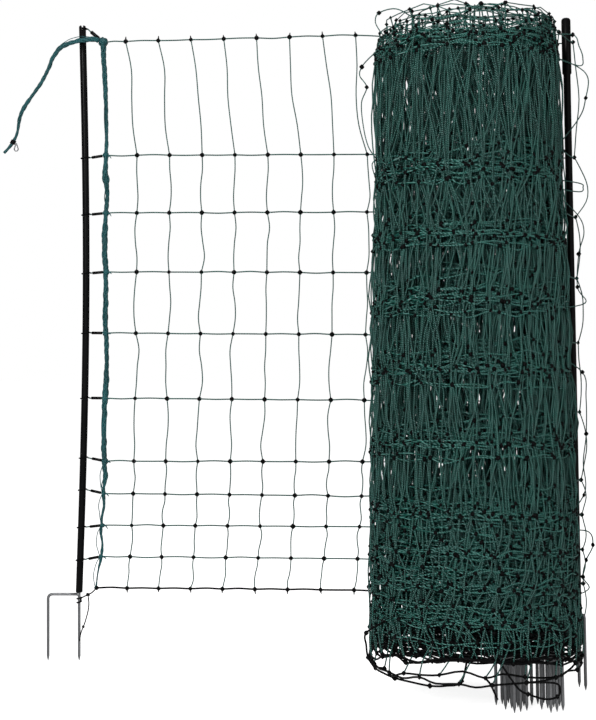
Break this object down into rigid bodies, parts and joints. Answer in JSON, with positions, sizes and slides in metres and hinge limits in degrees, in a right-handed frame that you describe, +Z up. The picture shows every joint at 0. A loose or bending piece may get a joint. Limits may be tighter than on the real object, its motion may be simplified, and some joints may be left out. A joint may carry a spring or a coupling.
{
  "type": "electric poultry netting",
  "caption": "Electric netting for poultry: an end post on a double spike, a stretch of knotted green net, and the rest rolled round its bundled posts, which stand on their spikes.",
  "frame": {"origin": "on the floor, under the middle of the object's box, its free cords left out", "axes": "+Z up along the posts, +X from the end post to the roll, +Y to the side that the roll's spikes stand away from"},
  "size_m": [1.1431, 0.573, 1.2882],
  "materials": {
    "post_plastic": "black, lightly rubbed, a soft grey sheen",
    "galvanised_steel": "galvanised, dull grey with bright scratches",
    "sleeve_plastic": "black moulded tube",
    "net_twine": "dark green twisted twine with fine bright wires, black knots, black bottom line",
    "link_cord": "teal twisted strands",
    "black_tie": "black twisted cord"
  },
  "bodies": {
    "root": {"end_post": "post_plastic", "post_02": "post_plastic", "post_03": "post_plastic", "post_04": "post_plastic", "post_05": "post_plastic", "post_06": "post_plastic", "post_07": "post_plastic", "post_08": "post_plastic", "post_09": "post_plastic", "post_10": "post_plastic", "post_11": "post_plastic", "post_12": "post_plastic", "post_13": "post_plastic", "post_14": "post_plastic", "end_spike": "galvanised_steel", "spike_02": "galvanised_steel", "spike_03": "galvanised_steel", "spike_04": "galvanised_steel", "spike_05": "galvanised_steel", "spike_06": "galvanised_steel", "spike_07": "galvanised_steel", "spike_08": "galvanised_steel", "spike_09": "galvanised_steel", "spike_10": "galvanised_steel", "spike_11": "galvanised_steel", "spike_12": "galvanised_steel", "spike_13": "galvanised_steel", "spike_14": "galvanised_steel", "line_sleeve_01": "sleeve_plastic", "line_sleeve_02": "sleeve_plastic", "line_sleeve_03": "sleeve_plastic", "line_sleeve_04": "sleeve_plastic", "line_sleeve_05": "sleeve_plastic", "line_sleeve_06": "sleeve_plastic", "line_sleeve_07": "sleeve_plastic", "line_sleeve_08": "sleeve_plastic", "line_sleeve_09": "sleeve_plastic", "line_sleeve_10": "sleeve_plastic", "net_panel": "net_twine", "net_roll": "net_twine", "net_outer_turn": "net_twine", "link_cord": "link_cord", "lead_tail": "link_cord", "lead_binding": "black_tie", "lead_wire_loop": "galvanised_steel", "foot_tie": "black_tie", "foot_tie_tail": "black_tie"}
  },
  "joints": []
}
